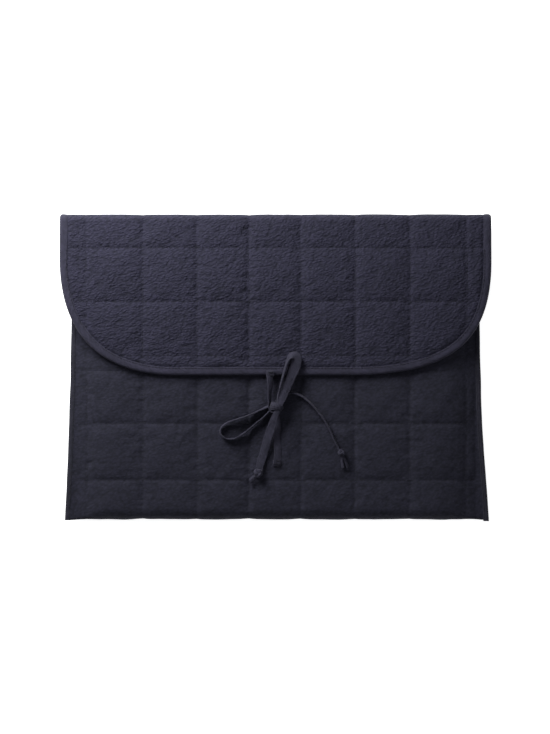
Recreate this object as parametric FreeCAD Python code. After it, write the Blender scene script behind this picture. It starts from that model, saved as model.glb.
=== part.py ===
"""Quilted laptop sleeve with a tie-fastened flap, lying on its back.

Units are millimetres. +X runs to the right as the flap's face is read, +Y runs
from the bottom fold to the top fold, and +Z points up out of the front. The
origin is the middle of the sleeve's outline, on the surface it lies on.

The padded panel is a sandwich of crinkle cotton, wadding and a smooth lining.
It folds round the bottom to make the pouch, carries on over the mouth as a flat
spine band, and ends as the flap. Two fabric folds join the three bodies.
"""
import FreeCAD
import Part
import math
import os

Vector = FreeCAD.Vector

# ---- driving dimensions -------------------------------------------------------
HEIGHT = 250.0              # bottom fold to top fold
FLAP_WIDTH = 352.0
SEAM_WIDTH_TOP = 333.2      # raw panel width at the mouth, inside its binding
SEAM_WIDTH_MIDDLE = 335.0
SEAM_WIDTH_BOTTOM = 344.0
OUTER_CLOTH = 0.6
WADDING = 2.4
LINING = 0.5
BINDING = 0.4               # thickness of the folded binding tape
POCKET_GAP = 12.4           # room for a 13 inch laptop about 11.3 thick
MOUTH_SETBACK = 13.0        # mouth edge below the top fold
FLAT_HALF_WIDTH = 153.0     # half width of the pocket's full-depth part
SHOULDER = 8.0              # width of the slope from the flat to the side seam
SEAM_HALF = 2.0             # half thickness of the pressed side seam
SEAM_BINDING_WIDTH = 4.0
FLAP_BINDING_WIDTH = 6.5
MOUTH_BINDING_WIDTH = 7.5
FLAP_EDGE_Y = -6.6          # straight lower edge of the flap
FOLD_LIFT = 1.2             # lets the opened flap lie clear of the surface
FOLD_CLEARANCE = 0.3
CLEARANCE = 0.4
TIE_RADIUS = 1.3            # round tube with the section area of the flat tape
TIE_TAB = (6.0, 4.0, 2.9)   # sewn-down end of each tie

# ---- levels and places that follow from them ----------------------------------
PANEL = OUTER_CLOTH + WADDING + LINING
POUCH_DEPTH = 2 * PANEL + POCKET_GAP
SEAM_Z = POUCH_DEPTH / 2
TOP_Y = HEIGHT / 2
BOTTOM_Y = -HEIGHT / 2
MOUTH_Y = TOP_Y - MOUTH_SETBACK
FOLD_Y = TOP_Y - BINDING - PANEL   # inner face of the spine, and both fold lines
SPINE_FOLD_Z = PANEL + FOLD_LIFT
FLAP_BOTTOM_Z = POUCH_DEPTH + BINDING + CLEARANCE + BINDING
FLAP_TOP_Z = FLAP_BOTTOM_Z + PANEL
LAYER_DEPTHS = {
    "outer": (0.0, OUTER_CLOTH),
    "wadding": (OUTER_CLOTH, OUTER_CLOTH + WADDING),
    "lining": (OUTER_CLOTH + WADDING, PANEL),
}
BINDING_PLAY = 0.5          # keeps the folds' bindings clear of each other

# ---- ties: points that the tape's middle line turns at -------------------------
POUCH_TIE_ROUTE = [
    (1.0, -80.3, 21.0), (2.2, -70.0, 21.0), (0.8, -59.0, 21.0), (1.9, -49.5, 21.0),
    (1.7, -42.5, 21.0), (0.4, -37.3, 21.0), (-2.6, -35.2, 21.2), (-6.0, -37.4, 21.6),
    (-11.0, -42.4, 22.2), (-18.0, -47.6, 22.5), (-25.5, -53.8, 22.6), (-33.0, -59.6, 22.6),
    (-41.0, -60.2, 22.6), (-47.3, -56.4, 22.6), (-47.4, -49.8, 22.6), (-41.0, -45.0, 22.6),
    (-31.5, -42.6, 22.6), (-21.0, -39.2, 22.4), (-11.5, -34.4, 22.0), (-5.0, -31.6, 21.7),
    (0.8, -28.2, 21.6), (6.0, -23.2, 21.6), (13.4, -20.0, 22.0), (22.6, -23.8, 22.5),
    (30.8, -31.6, 22.6), (38.0, -40.0, 22.6), (43.8, -49.4, 22.6), (47.6, -58.4, 22.6),
    (51.9, -67.2, 22.8),
]
FLAP_TIE_ROUTE = [
    (-4.3, -4.0, 26.1), (-4.9, -9.5, 26.4), (-4.0, -15.5, 26.3), (-4.9, -21.3, 26.0),
    (-4.9, -27.0, 25.6), (-4.6, -32.2, 25.3), (-2.6, -35.9, 25.2), (0.6, -35.9, 25.2),
    (1.9, -32.2, 25.4), (1.6, -26.4, 26.3), (2.8, -19.6, 27.2), (4.8, -12.0, 27.8),
    (7.3, -2.8, 28.1),
    (10.0, 6.8, 28.1), (14.0, 13.6, 28.0), (19.6, 11.6, 27.9), (18.4, 4.2, 27.9),
    (14.6, -3.6, 27.8), (11.2, -11.2, 27.6), (8.4, -18.4, 27.5), (5.9, -25.2, 27.8),
    (3.4, -31.6, 28.5), (0.7, -37.4, 28.4), (-1.8, -44.0, 27.2), (-4.0, -51.5, 25.6),
    (-7.0, -60.0, 23.8), (-9.2, -69.0, 22.2), (-12.2, -77.5, 21.6), (-13.3, -83.6, 21.8),
]
POUCH_TIE_KNOT = (53.6, -69.6, 23.0)
POUCH_TIE_TAIL_END = (56.6, -80.6, 20.9)
FLAP_TIE_KNOT = (-14.2, -86.4, 23.0)
FLAP_TIE_TAIL_END = (-21.4, -94.4, 21.6)
END_KNOT_RADIUS = 3.2
TAIL_STUB = (5.0, 1.4)      # width and thickness of the tape past its end knot
BOW_KNOT = (10.6, 8.4, 6.2)
BOW_KNOT_PLACE = (-5.4, -37.0, 24.1)


def block(x0, x1, y0, y1, z0, z1):
    """Return the box between two corners."""
    return Part.makeBox(x1 - x0, y1 - y0, z1 - z0, Vector(x0, y0, z0))


def prism(points, direction):
    """Return the solid swept by a closed polygon along a vector."""
    face = Part.Face(Part.makePolygon(points + points[:1]))
    return face.extrude(direction)


def seam_outline(inset):
    """Return the plan face of the pouch, grown narrower by inset on each side."""
    ends = [BOTTOM_Y - 1, -10.0, TOP_Y]
    halves = [SEAM_WIDTH_BOTTOM / 2, SEAM_WIDTH_MIDDLE / 2, SEAM_WIDTH_TOP / 2]
    right = [Vector(half - inset, y, 0) for half, y in zip(halves, ends)]
    left = [Vector(inset - half, y, 0) for half, y in zip(halves, ends)]
    edges = [
        Part.Arc(*right).toShape(),
        Part.makeLine(right[2], left[2]),
        Part.Arc(*reversed(left)).toShape(),
        Part.makeLine(left[0], right[0]),
    ]
    return Part.Face(Part.Wire(edges))


def across_profile(depth):
    """Return the pouch's lens across its width, depth in from the outer face."""
    share = depth / PANEL
    flat = FLAT_HALF_WIDTH + share
    root = FLAT_HALF_WIDTH + SHOULDER - share / 2
    low = depth
    high = POUCH_DEPTH - depth
    seam_halves = {
        0.0: SEAM_HALF,
        OUTER_CLOTH: SEAM_HALF - OUTER_CLOTH,
        OUTER_CLOTH + WADDING: LINING,
        PANEL: 0.0,
    }
    half = seam_halves[depth]
    lower = [(-flat, low), (flat, low), (root, SEAM_Z - half)]
    upper = [(root, SEAM_Z + half), (flat, high), (-flat, high), (-root, SEAM_Z + half)]
    if half == 0.0:
        outline = lower + upper[1:]
    else:
        wide = FLAP_WIDTH / 2
        lower.append((wide, SEAM_Z - half))
        upper.insert(0, (wide, SEAM_Z + half))
        closing = [(-wide, SEAM_Z + half), (-wide, SEAM_Z - half), (-root, SEAM_Z - half)]
        outline = lower + upper + closing
    start = BOTTOM_Y - 1
    points = [Vector(x, start, z) for x, z in outline]
    return prism(points, Vector(0, HEIGHT + 2, 0))


def along_profile(depth):
    """Return the pouch's side view, depth in from the outer face.

    The back reaches the fold line and the front stops at the mouth.
    """
    radius = POUCH_DEPTH / 2 - depth
    turn_y = BOTTOM_Y + POUCH_DEPTH / 2
    back_end = FOLD_Y - FOLD_CLEARANCE
    corners = [
        (turn_y, depth), (back_end, depth), (back_end, SEAM_Z),
        (MOUTH_Y, SEAM_Z), (MOUTH_Y, POUCH_DEPTH - depth), (turn_y, POUCH_DEPTH - depth),
    ]
    points = [Vector(-FLAP_WIDTH / 2, y, z) for y, z in corners]
    edges = [Part.makeLine(a, b) for a, b in zip(points, points[1:])]
    fold = Vector(-FLAP_WIDTH / 2, turn_y - radius, SEAM_Z)
    edges.append(Part.Arc(points[-1], fold, points[0]).toShape())
    return Part.Face(Part.Wire(edges)).extrude(Vector(FLAP_WIDTH, 0, 0))


def pouch_envelope(depth):
    """Return the filled pouch, depth in from its outer face."""
    plan = seam_outline(0).extrude(Vector(0, 0, POUCH_DEPTH))
    return across_profile(depth).common(along_profile(depth)).common(plan)


def pouch_layers():
    """Return the pouch's three layers, each folded round the bottom."""
    layers = {}
    for name, (near, far) in LAYER_DEPTHS.items():
        layers["pouch_" + name] = pouch_envelope(near).cut(pouch_envelope(far))
    return layers


def side_binding(side):
    """Return the tape folded over one side seam."""
    height = 2 * (SEAM_HALF + BINDING)
    base = Vector(0, 0, SEAM_Z - height / 2)
    tape = seam_outline(-BINDING).extrude(Vector(0, 0, height))
    tape = tape.cut(seam_outline(SEAM_BINDING_WIDTH).extrude(Vector(0, 0, height)))
    tape.translate(base)
    reach = sorted([0.0, side * FLAP_WIDTH])
    tape = tape.common(block(*reach, BOTTOM_Y, MOUTH_Y, 0, POUCH_DEPTH))
    return tape.cut(pouch_envelope(0.0))


def mouth_binding():
    """Return the tape folded over the front panel's upper edge."""
    root = FLAT_HALF_WIDTH + SHOULDER
    end = root - 2.0
    inner_z = POUCH_DEPTH - PANEL

    def front_strip(outset, end_y):
        outline = [
            (-root, SEAM_Z + SEAM_HALF + outset),
            (-FLAT_HALF_WIDTH, POUCH_DEPTH + outset),
            (FLAT_HALF_WIDTH, POUCH_DEPTH + outset),
            (root, SEAM_Z + SEAM_HALF + outset),
            (root - 0.5, SEAM_Z - outset),
            (FLAT_HALF_WIDTH + 1, inner_z - outset),
            (-FLAT_HALF_WIDTH - 1, inner_z - outset),
            (0.5 - root, SEAM_Z - outset),
        ]
        start_y = MOUTH_Y - MOUTH_BINDING_WIDTH
        points = [Vector(x, start_y, z) for x, z in outline]
        return prism(points, Vector(0, end_y - start_y, 0))

    tape = front_strip(BINDING, MOUTH_Y + BINDING).cut(front_strip(0.0, MOUTH_Y))
    return tape.common(block(-end, end, 0, TOP_Y, 0, FLAP_TOP_Z))


def spine_layers():
    """Return the three layers of the band that closes the mouth."""
    face = FOLD_Y + PANEL
    half = FLAP_WIDTH / 2 - BINDING
    low = SPINE_FOLD_Z + FOLD_CLEARANCE
    high = FLAP_BOTTOM_Z - BINDING_PLAY
    layers = {}
    for name, (near, far) in LAYER_DEPTHS.items():
        layers["spine_" + name] = block(-half, half, face - far, face - near, low, high)
    return layers


def spine_binding(side):
    """Return the tape folded over one end of the spine band."""
    low = SPINE_FOLD_Z + FOLD_CLEARANCE
    high = FLAP_BOTTOM_Z - BINDING_PLAY
    ends = sorted([side * FLAP_WIDTH / 2, side * (FLAP_WIDTH / 2 - FLAP_BINDING_WIDTH)])
    tape = block(*ends, FOLD_Y - BINDING, TOP_Y, low, high)
    half = FLAP_WIDTH / 2 - BINDING
    return tape.cut(block(-half, half, FOLD_Y, FOLD_Y + PANEL, low, high))


def flap_corner(side, start_y, drop, end_x, reach, inset):
    """Return one lower corner of the flap as a curve from its side to its edge."""
    side_x = FLAP_WIDTH / 2 - inset
    pull = 0.55 * inset     # keeps an inset curve parallel to the outline
    edge_y = FLAP_EDGE_Y + inset
    points = [
        (side_x, start_y), (side_x, start_y - drop + pull),
        (end_x + reach - pull, edge_y), (end_x, edge_y),
    ]
    curve = Part.BezierCurve()
    curve.setPoles([Vector(side * x, y, 0) for x, y in points])
    return curve.toShape()


def flap_outline(inset):
    """Return the plan face of the flap, inset from its edge all round."""
    left = flap_corner(-1, 89.5, 58.0, 80.5, 67.0, inset)
    right = flap_corner(1, 87.0, 63.5, 61.5, 85.5, inset)
    half = FLAP_WIDTH / 2 - inset
    top_y = FOLD_Y - BINDING_PLAY
    corners = [Vector(-half, top_y, 0), Vector(half, top_y, 0)]
    edges = [
        Part.makeLine(corners[0], left.Vertexes[0].Point),
        left,
        Part.makeLine(left.Vertexes[-1].Point, right.Vertexes[-1].Point),
        right,
        Part.makeLine(right.Vertexes[0].Point, corners[1]),
        Part.makeLine(corners[1], corners[0]),
    ]
    return Part.Face(Part.Wire(Part.__sortEdges__(edges)))


def flap_slab(inset, low, high):
    """Return the flap's outline as a slab between two levels."""
    slab = flap_outline(inset).extrude(Vector(0, 0, high - low))
    slab.translate(Vector(0, 0, low))
    return slab


def flap_layers():
    """Return the three layers of the flap."""
    layers = {}
    for name, (near, far) in LAYER_DEPTHS.items():
        layers["flap_" + name] = flap_slab(BINDING, FLAP_TOP_Z - far, FLAP_TOP_Z - near)
    return layers


def flap_binding():
    """Return the tape folded over the flap's free edge."""
    low = FLAP_BOTTOM_Z - BINDING
    high = FLAP_TOP_Z + BINDING
    tape = flap_slab(0.0, low, high).cut(flap_slab(FLAP_BINDING_WIDTH, low, high))
    return tape.cut(flap_slab(BINDING, FLAP_BOTTOM_Z, FLAP_TOP_Z))


def tie_path(name, route):
    """Return the wire of straight runs joined by tangent arcs along a route."""
    points = [Vector(*point) for point in route]
    edges = []
    radii = []
    start = points[0]
    for before, corner, after in zip(points, points[1:], points[2:]):
        back = before - corner
        ahead = after - corner
        shorter = min(back.Length, ahead.Length)
        back.normalize()
        ahead.normalize()
        half_turn = (math.pi - back.getAngle(ahead)) / 2
        cut = 0.45 * shorter
        radius = cut / math.tan(half_turn)
        arc_start = corner + back * cut
        arc_end = corner + ahead * cut
        bisector = back + ahead
        bisector.normalize()
        middle = corner + bisector * (radius / math.cos(half_turn) - radius)
        edges.append(Part.LineSegment(start, arc_start).toShape())
        edges.append(Part.Arc(arc_start, middle, arc_end).toShape())
        radii.append(round(radius, 1))
        start = arc_end
    edges.append(Part.LineSegment(start, points[-1]).toShape())
    path = Part.Wire(edges)
    print(name, "length", round(path.Length, 1), "radii", radii)
    return path


def tie(name, route):
    """Return the round tube that holds the space of one flat tie."""
    path = tie_path(name, route)
    first = Vector(*route[0])
    heading = Vector(*route[1]) - first
    ring = Part.Wire(Part.makeCircle(TIE_RADIUS, first, heading))
    tube = path.makePipeShell([ring], True, False)
    section = math.pi * TIE_RADIUS ** 2
    print(name, "volume", round(tube.Volume, 1), "expected", round(section * path.Length, 1))
    return tube


def tie_end(knot, tail_end):
    """Return the overhand knot near a tie's end, with the short tail past it."""
    centre = Vector(*knot)
    ball = Part.makeSphere(END_KNOT_RADIUS, centre)
    heading = Vector(*tail_end) - centre
    width, thickness = TAIL_STUB
    stub = block(0, heading.Length, -width / 2, width / 2, -thickness / 2, thickness / 2)
    stub.Placement = FreeCAD.Placement(centre, FreeCAD.Rotation(Vector(1, 0, 0), heading))
    return ball.fuse(stub)


def tie_tab(route, surface_z, heading):
    """Return the end of a tie where it is folded under and sewn down."""
    width, length, height = TIE_TAB
    x, y, _ = route[0]
    ends = sorted([y, y - heading * length])
    return block(x - width / 2, x + width / 2, *ends, surface_z, surface_z + height)


def bow_knot():
    """Return the wrap that holds the bow's loops together."""
    wrap = Part.makeBox(*BOW_KNOT, Vector(*BOW_KNOT_PLACE))
    return wrap.makeFillet(1.5, wrap.Edges)


def build():
    """Return every node's solid by name."""
    nodes = {}
    nodes.update(pouch_layers())
    nodes["side_binding_left"] = side_binding(-1)
    nodes["side_binding_right"] = side_binding(1)
    nodes["mouth_binding"] = mouth_binding()
    nodes["pouch_tie_tab"] = tie_tab(POUCH_TIE_ROUTE, POUCH_DEPTH, 1)
    nodes["pouch_tie"] = tie("pouch_tie", POUCH_TIE_ROUTE)
    nodes["pouch_tie_end_knot"] = tie_end(POUCH_TIE_KNOT, POUCH_TIE_TAIL_END)
    nodes.update(spine_layers())
    nodes["spine_binding_left"] = spine_binding(-1)
    nodes["spine_binding_right"] = spine_binding(1)
    nodes.update(flap_layers())
    nodes["flap_binding"] = flap_binding()
    nodes["flap_tie_tab"] = tie_tab(FLAP_TIE_ROUTE, FLAP_TOP_Z + BINDING, -1)
    nodes["flap_tie"] = tie("flap_tie", FLAP_TIE_ROUTE)
    nodes["flap_tie_end_knot"] = tie_end(FLAP_TIE_KNOT, FLAP_TIE_TAIL_END)
    nodes["bow_knot"] = bow_knot()
    return nodes


os.makedirs("parts", exist_ok=True)
for node, shape in build().items():
    shape.exportStep("parts/" + node + ".step")
    box = shape.BoundBox
    print(node, "solids", len(shape.Solids), "volume", round(shape.Volume), "valid", shape.isValid(),
          [round(v, 1) for v in (box.XMin, box.XMax, box.YMin, box.YMax, box.ZMin, box.ZMax)])
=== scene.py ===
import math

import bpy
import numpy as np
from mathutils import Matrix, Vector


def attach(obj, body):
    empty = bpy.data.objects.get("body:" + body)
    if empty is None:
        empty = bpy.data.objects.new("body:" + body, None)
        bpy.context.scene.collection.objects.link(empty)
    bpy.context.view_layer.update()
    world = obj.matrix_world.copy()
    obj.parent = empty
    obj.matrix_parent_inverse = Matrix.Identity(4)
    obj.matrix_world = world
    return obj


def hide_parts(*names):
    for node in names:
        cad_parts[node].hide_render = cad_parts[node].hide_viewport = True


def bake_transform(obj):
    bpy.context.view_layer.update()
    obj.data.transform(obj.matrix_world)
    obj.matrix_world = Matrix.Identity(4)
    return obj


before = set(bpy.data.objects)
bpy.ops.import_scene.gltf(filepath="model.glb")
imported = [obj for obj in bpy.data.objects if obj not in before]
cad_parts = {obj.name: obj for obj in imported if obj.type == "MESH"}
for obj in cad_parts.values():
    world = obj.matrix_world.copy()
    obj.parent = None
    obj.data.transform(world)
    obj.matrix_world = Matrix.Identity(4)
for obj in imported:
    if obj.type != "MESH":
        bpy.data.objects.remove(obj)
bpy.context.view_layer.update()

# Looks of the quilted laptop sleeve. Lengths are in millimetres until a mesh is made.
# Every cloth surface carries a "panel" attribute: each point's place on the flat panel
# before it was folded, in millimetres, so the weave runs on round the folds.

MM = 0.001


# ---- camera and light ---------------------------------------------------------------

def add_camera():
    """Look straight down on the sleeve from far enough to see it nearly flat."""
    data = bpy.data.cameras.new("camera")
    data.sensor_fit = "VERTICAL"
    data.sensor_height = 36
    data.lens = 150.5
    data.clip_end = 20
    camera = bpy.data.objects.new("camera", data)
    camera.location = (-0.0004, 0.0001, 2.52)
    bpy.context.scene.collection.objects.link(camera)
    bpy.context.scene.camera = camera


def add_area_light(name, place, target, size, watts):
    """Add a soft square light that faces a point."""
    data = bpy.data.lights.new(name, "AREA")
    data.size = size
    data.energy = watts
    light = bpy.data.objects.new(name, data)
    light.location = place
    aim = Vector(target) - Vector(place)
    light.rotation_euler = aim.to_track_quat("-Z", "Y").to_euler()
    bpy.context.scene.collection.objects.link(light)


def add_studio():
    """Add the camera, a soft key light from the upper left, a pale sky and a floor."""
    add_camera()
    add_area_light("key", (-0.33, 0.45, 0.33), (0.0, 0.0, 0.0), 0.34, 8.7)
    add_area_light("fill", (0.9, -0.6, 1.3), (0, 0, 0), 1.4, 4)
    world = bpy.data.worlds.new("studio")
    world.use_nodes = True
    sky = world.node_tree.nodes["Background"]
    sky.inputs["Color"].default_value = (0.93, 0.95, 1, 1)
    sky.inputs["Strength"].default_value = 0.20
    bpy.context.scene.world = world
    bpy.context.scene.view_settings.view_transform = "Standard"
    bpy.ops.mesh.primitive_plane_add(size=8, location=(0, 0, -0.0006))
    floor = bpy.context.object
    floor.name = "floor"
    material, _, shader = new_material("floor_paper")
    shader.inputs["Base Color"].default_value = (0.93, 0.93, 0.93, 1)
    shader.inputs["Roughness"].default_value = 0.9
    shader.inputs["Emission Color"].default_value = (1, 1, 1, 1)
    shader.inputs["Emission Strength"].default_value = 0.8
    floor.data.materials.append(material)


# ---- materials ------------------------------------------------------------------------

def new_material(name):
    """Return a material, its node tree and its main shader."""
    material = bpy.data.materials.new(name)
    material.use_nodes = True
    tree = material.node_tree
    return material, tree, tree.nodes["Principled BSDF"]


def add_node(tree, kind, **inputs):
    """Add a shader node; inputs are constants or sockets of other nodes."""
    node = tree.nodes.new("ShaderNode" + kind)
    for name, value in inputs.items():
        key = int(name[1:]) if name[0] == "_" else name.replace("_", " ")
        socket = node.inputs[key]
        if isinstance(value, bpy.types.NodeSocket):
            tree.links.new(value, socket)
        else:
            socket.default_value = value
    return node


def panel_place(tree, turn, size):
    """Return the panel coordinates turned by some degrees and scaled by a grain size."""
    place = tree.nodes.new("ShaderNodeAttribute")
    place.attribute_name = "panel"
    mapping = add_node(
        tree, "Mapping", Vector=place.outputs["Vector"],
        Rotation=(0, 0, math.radians(turn)),
    )
    scaling = add_node(
        tree, "VectorMath", _0=mapping.outputs["Vector"],
        _1=tuple(1 / s for s in size),
    )
    scaling.operation = "MULTIPLY"
    return scaling.outputs["Vector"]


def add_noise(tree, vector, detail=2.0, roughness=0.5, distortion=0.0):
    """Return the factor socket of a noise texture."""
    texture = add_node(tree, "TexNoise", Vector=vector, Scale=1.0, Detail=detail,
                       Roughness=roughness, Distortion=distortion)
    return texture.outputs[0]


def math_node(tree, operation, a, b=0.0):
    """Return the result of one sum on two sockets or numbers."""
    node = add_node(tree, "Math", _0=a, _1=b)
    node.operation = operation
    return node.outputs[0]


def weighted(tree, *parts):
    """Return the sum of sockets, each times its weight."""
    total = None
    for socket, weight in parts:
        part = math_node(tree, "MULTIPLY", socket, weight)
        total = part if total is None else math_node(tree, "ADD", total, part)
    return total


def add_ramp(tree, factor, stops):
    """Return the colour of a ramp over a factor."""
    node = add_node(tree, "ValToRGB", Fac=factor)
    for index, (position, colour) in enumerate(stops):
        if index < 2:
            element = node.color_ramp.elements[index]
            element.position = position
        else:
            element = node.color_ramp.elements.new(position)
        element.color = (*colour, 1)
    return node.outputs["Color"]


def add_weave(tree, pitch):
    """Return a plain weave's height: warp and weft threads crossing."""
    heights = []
    for turn in (0, 90):
        wave = add_node(tree, "TexWave", Vector=panel_place(tree, turn, (pitch,) * 3),
                        Scale=0.314, Distortion=1.2, Detail=1.0)
        heights.append(wave.outputs["Fac"])
    return math_node(tree, "MULTIPLY", *heights)


def add_bump(tree, height, distance, strength=1.0, normal=None):
    """Return the normal of one bump layer; distance is in millimetres."""
    bump = add_node(tree, "Bump", Height=height, Distance=distance * MM, Strength=strength)
    if normal is not None:
        tree.links.new(normal, bump.inputs["Normal"])
    return bump.outputs["Normal"]


def finish_cotton(tree, shader, colour, fibres, rough, gloss, sheen, creases, relief, weave):
    """Join the parts that both cottons share to the main shader."""
    tree.links.new(colour, shader.inputs["Base Color"])
    rough = math_node(tree, "ADD", math_node(tree, "MULTIPLY", fibres, 0.16), rough)
    tree.links.new(rough, shader.inputs["Roughness"])
    shader.inputs["Specular IOR Level"].default_value = gloss
    for socket, value in zip(("Sheen Weight", "Sheen Roughness"), sheen):
        shader.inputs[socket].default_value = value
    normal = add_bump(tree, *weave, add_bump(tree, creases, relief))
    tree.links.new(add_bump(tree, fibres, 0.03, 0.8, normal), shader.inputs["Normal"])


def crinkle_cotton(name, relief, shade):
    """Return the outer cloth: indigo cotton with dense short creases."""
    material, tree, shader = new_material(name)
    pebbles = add_node(tree, "TexVoronoi", Vector=panel_place(tree, -22, (2.8, 1.6, 3)))
    pebbles.feature = "SMOOTH_F1"
    pebbles.inputs["Scale"].default_value = 1.0
    pebbles.inputs["Smoothness"].default_value = 0.5
    short_creases = add_noise(tree, panel_place(tree, -8, (2.0, 1.2, 3)), 1.5, 0.5, 0.2)
    creases = weighted(tree, (short_creases, 0.8), (pebbles.outputs["Distance"], -0.75))
    creases = math_node(tree, "ADD", creases, 0.75)
    patches = add_noise(tree, panel_place(tree, 10, (34, 26, 30)), 3.0)
    fibres = add_noise(tree, panel_place(tree, 40, (0.35, 0.35, 0.35)), 2.0)
    # The crease height also sets the colour: painted shade in the crease valleys and painted light
    # on the crests. Patches and fibres add random tone.
    tone_and_painted_shade = weighted(tree, (creases, 0.62), (patches, 0.18), (fibres, 0.18))
    stops = [(0.36, (0.0095, 0.0097, 0.0168)), (0.84, (0.0245, 0.0235, 0.0430)),
             (0.60, (0.0165, 0.0163, 0.0290))]
    # shade scales the whole ramp. For the pouch's darker copy it carries painted shade.
    colour = add_ramp(tree, tone_and_painted_shade, [
        (place, tuple(c * k for c, k in zip(colour, shade))) for place, colour in stops])
    shader.inputs["Sheen Tint"].default_value = (0.72, 0.74, 1.0, 1)
    finish_cotton(tree, shader, colour, fibres, 0.78, 0.18, (0.035, 0.45), creases, relief,
                  (add_weave(tree, 0.42), 0.06, 0.8))
    return material


def plain_cotton(name, dark, light, pucker, pitch=0.38):
    """Return a smoother plain-weave cotton, used for tape and lining."""
    material, tree, shader = new_material(name)
    folds = add_noise(tree, panel_place(tree, 38, (5.0, 1.8, 3)), 2.0, 0.5, 0.6)
    patches = add_noise(tree, panel_place(tree, 5, (14, 11, 12)), 3.0)
    fibres = add_noise(tree, panel_place(tree, 30, (0.3, 0.3, 0.3)), 2.0)
    # The fold height also sets the colour: painted shade in the fold valleys. Patches and fibres
    # add random tone.
    tone_and_painted_shade = weighted(tree, (folds, 0.4), (patches, 0.35), (fibres, 0.25))
    colour = add_ramp(tree, tone_and_painted_shade, [(0.36, dark), (0.66, light)])
    finish_cotton(tree, shader, colour, fibres, 0.74, 0.2, (0.03, 0.5), folds, pucker,
                  (add_weave(tree, pitch), 0.07, 1.0))
    return material


def wadding_fibre():
    """Return the off-white needled wadding."""
    material, tree, shader = new_material("wadding")
    tufts = add_noise(tree, panel_place(tree, 20, (2.2, 1.6, 2)), 4.0, 0.65, 0.8)
    tree.links.new(
        add_ramp(tree, tufts, [(0.3, (0.52, 0.50, 0.46)), (0.7, (0.80, 0.78, 0.74))]),
        shader.inputs["Base Color"],
    )
    shader.inputs["Roughness"].default_value = 0.95
    tree.links.new(add_bump(tree, tufts, 0.5), shader.inputs["Normal"])
    return material


add_studio()
# The flap's cotton shows more relief and more light than the pouch's. The pouch's copy of the same
# cotton is made darker as painted shade.
CRINKLE = crinkle_cotton("crinkle_cotton", 0.95, (0.870, 0.860, 0.890))
CRINKLE_CALM_SHADED = crinkle_cotton("crinkle_cotton_pouch_shaded", 0.27, (0.69, 0.71, 0.67))
TAPE = plain_cotton("tie_tape", (0.0130, 0.0130, 0.0218), (0.0285, 0.0270, 0.0455), 0.10)
BINDING = plain_cotton("binding_tape", (0.0135, 0.0132, 0.0232), (0.0288, 0.0272, 0.0480), 0.30)
# The pouch's side tape is the binding tape made darker, as painted shade.
BINDING_SHADED = plain_cotton(
    "binding_tape_pouch_shaded", (0.0100, 0.0100, 0.0160), (0.0200, 0.0195, 0.0310), 0.30)
LINING = plain_cotton("lining_cotton", (0.018, 0.019, 0.030), (0.032, 0.033, 0.050), 0.12, 0.5)
THREAD = plain_cotton(
    "sewing_thread", (0.0075, 0.0078, 0.0120), (0.0150, 0.0150, 0.0235), 0.03, 0.2)
WADDING = wadding_fibre()


# ---- noise and meshes -----------------------------------------------------------------

UP = np.array([0, 0, 1.0])
NOISE_GRID = 128


def noise(x, y, seed):
    """Return smooth gradient noise, about -1 to 1, with a grain of one unit."""
    angles = np.random.default_rng(seed).uniform(0, 2 * math.pi, (NOISE_GRID, NOISE_GRID))
    x, y = np.broadcast_arrays(np.asarray(x, float), np.asarray(y, float))
    column, row = np.floor(x).astype(int), np.floor(y).astype(int)
    across, up = x - column, y - row
    value = np.zeros(x.shape)
    for right in (0, 1):
        for above in (0, 1):
            angle = angles[(column + right) % NOISE_GRID, (row + above) % NOISE_GRID]
            reach = (across - right) * np.cos(angle) + (up - above) * np.sin(angle)
            weight_x = ease(across) if right else 1 - ease(across)
            weight_y = ease(up) if above else 1 - ease(up)
            value += reach * weight_x * weight_y
    return value * 1.5


def ease(t):
    """Return a smooth step from 0 to 1."""
    t = np.clip(t, 0, 1)
    return t * t * (3 - 2 * t)


def unit(vectors):
    """Return vectors at length one."""
    return vectors / np.maximum(np.linalg.norm(vectors, axis=-1, keepdims=True), 1e-9)


def squared_off(wave, power):
    """Return a sine or cosine pressed towards -1 and 1."""
    return np.sign(wave) * np.abs(wave) ** power


def creases(x, y, seed):
    """Return short creases stretched along a line that rises to the right."""
    turn = math.radians(24)
    along = x * math.cos(turn) + y * math.sin(turn)
    across = y * math.cos(turn) - x * math.sin(turn)
    across = across + 1.2 * noise(along / 11, across / 11, seed + 5)
    broad = noise(along / 3.7, across / 2.2, seed)
    fine = noise(along / 2.6, across / 1.8, seed + 1)
    return 0.75 * broad + 0.6 * fine


def new_object(name, points, faces, material, panel=None, sharp=55):
    """Make a smooth-shaded mesh object from points in millimetres."""
    mesh = bpy.data.meshes.new(name)
    mesh.from_pydata((np.asarray(points) * MM).tolist(), [], faces)
    mesh.update()
    panel = points if panel is None else panel
    attribute = mesh.attributes.new("panel", "FLOAT_VECTOR", "POINT")
    attribute.data.foreach_set("vector", np.asarray(panel, np.float32).ravel())
    mesh.shade_smooth()
    mesh.set_sharp_from_angle(angle=math.radians(sharp))
    mesh.materials.append(material)
    piece = bpy.data.objects.new(name, mesh)
    bpy.context.scene.collection.objects.link(piece)
    return piece


def grid_normals(grid):
    """Return unit normals of a grid of points."""
    return unit(np.cross(np.gradient(grid, axis=1), np.gradient(grid, axis=0)))


def border(rows, columns):
    """Return a grid's border as one loop of (row, column) places."""
    loop = [(0, c) for c in range(columns)]
    loop += [(r, columns - 1) for r in range(1, rows)]
    loop += [(rows - 1, c) for c in range(columns - 2, -1, -1)]
    loop += [(r, 0) for r in range(rows - 2, 0, -1)]
    return loop


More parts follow.
